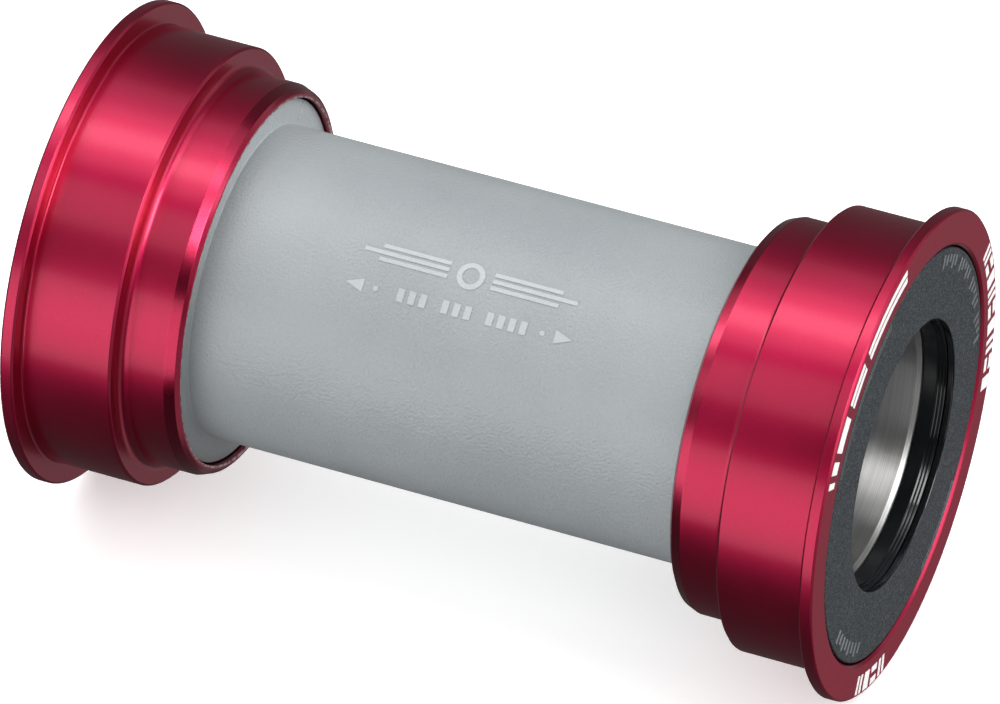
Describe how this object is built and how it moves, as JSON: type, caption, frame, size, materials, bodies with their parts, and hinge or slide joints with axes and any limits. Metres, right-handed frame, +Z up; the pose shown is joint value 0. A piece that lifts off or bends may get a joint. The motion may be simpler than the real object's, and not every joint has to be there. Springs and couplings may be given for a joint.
{
  "type": "bottom bracket",
  "caption": "Press-fit bicycle bottom bracket: two flanged aluminium cups with sealed ball bearings and dust caps, joined by a plastic sleeve.",
  "frame": {"origin": "on the spindle axis, midway between the two cups", "axes": "+Y along the spindle axis towards the left (non-drive) cup, +Z up, +X to the front of the bicycle"},
  "size_m": [0.045, 0.078, 0.045],
  "materials": {
    "cup_aluminium": "satin red anodised",
    "sleeve_plastic": "fine moulded texture, light grey",
    "cap_plastic": "fine spark-eroded texture, dark grey",
    "lip_rubber": "glossy black",
    "seal_rubber": "satin black",
    "race_steel": "ground",
    "ball_steel": "polished",
    "cage_nylon": "moulded nylon"
  },
  "bodies": {
    "sleeve": {"sleeve": "sleeve_plastic"},
    "left_cup": {"left_cup": "cup_aluminium", "left_dust_cap": "cap_plastic", "left_lip_ring": "lip_rubber", "left_outer_race": "race_steel", "left_outboard_seal": "seal_rubber", "left_inboard_seal": "seal_rubber"},
    "left_inner_race": {"left_inner_race": "race_steel"},
    "left_cage": {"left_ball_cage": "cage_nylon", "left_ball_01": "ball_steel", "left_ball_02": "ball_steel", "left_ball_03": "ball_steel", "left_ball_04": "ball_steel", "left_ball_05": "ball_steel", "left_ball_06": "ball_steel", "left_ball_07": "ball_steel", "left_ball_08": "ball_steel", "left_ball_09": "ball_steel", "left_ball_10": "ball_steel", "left_ball_11": "ball_steel", "left_ball_12": "ball_steel", "left_ball_13": "ball_steel", "left_ball_14": "ball_steel", "left_ball_15": "ball_steel", "left_ball_16": "ball_steel"},
    "right_cup": {"right_cup": "cup_aluminium", "right_dust_cap": "cap_plastic", "right_lip_ring": "lip_rubber", "right_outer_race": "race_steel", "right_outboard_seal": "seal_rubber", "right_inboard_seal": "seal_rubber"},
    "right_inner_race": {"right_inner_race": "race_steel"},
    "right_cage": {"right_ball_cage": "cage_nylon", "right_ball_01": "ball_steel", "right_ball_02": "ball_steel", "right_ball_03": "ball_steel", "right_ball_04": "ball_steel", "right_ball_05": "ball_steel", "right_ball_06": "ball_steel", "right_ball_07": "ball_steel", "right_ball_08": "ball_steel", "right_ball_09": "ball_steel", "right_ball_10": "ball_steel", "right_ball_11": "ball_steel", "right_ball_12": "ball_steel", "right_ball_13": "ball_steel", "right_ball_14": "ball_steel", "right_ball_15": "ball_steel", "right_ball_16": "ball_steel"}
  },
  "joints": [
    {"name": "left_cup_slide", "type": "slide", "parent": "sleeve", "child": "left_cup", "axis": [0, 1, 0], "range_m": [0, 0.00555]},
    {"name": "right_cup_slide", "type": "slide", "parent": "sleeve", "child": "right_cup", "axis": [0, -1, 0], "range_m": [0, 0.00555]},
    {"name": "left_race_spin", "type": "hinge", "parent": "left_cup", "child": "left_inner_race", "pos_m": [0, 0.0328, 0], "axis": [0, 1, 0], "continuous": true},
    {"name": "left_cage_spin", "type": "hinge", "parent": "left_cup", "child": "left_cage", "pos_m": [0, 0.0328, 0], "axis": [0, 1, 0], "continuous": true},
    {"name": "right_race_spin", "type": "hinge", "parent": "right_cup", "child": "right_inner_race", "pos_m": [0, -0.0328, 0], "axis": [0, 1, 0], "continuous": true},
    {"name": "right_cage_spin", "type": "hinge", "parent": "right_cup", "child": "right_cage", "pos_m": [0, -0.0328, 0], "axis": [0, 1, 0], "continuous": true}
  ],
  "couplings": [
    {"joint": "left_cage_spin", "follows": "left_race_spin", "ratio": 0.448},
    {"joint": "right_cage_spin", "follows": "right_race_spin", "ratio": 0.448}
  ]
}
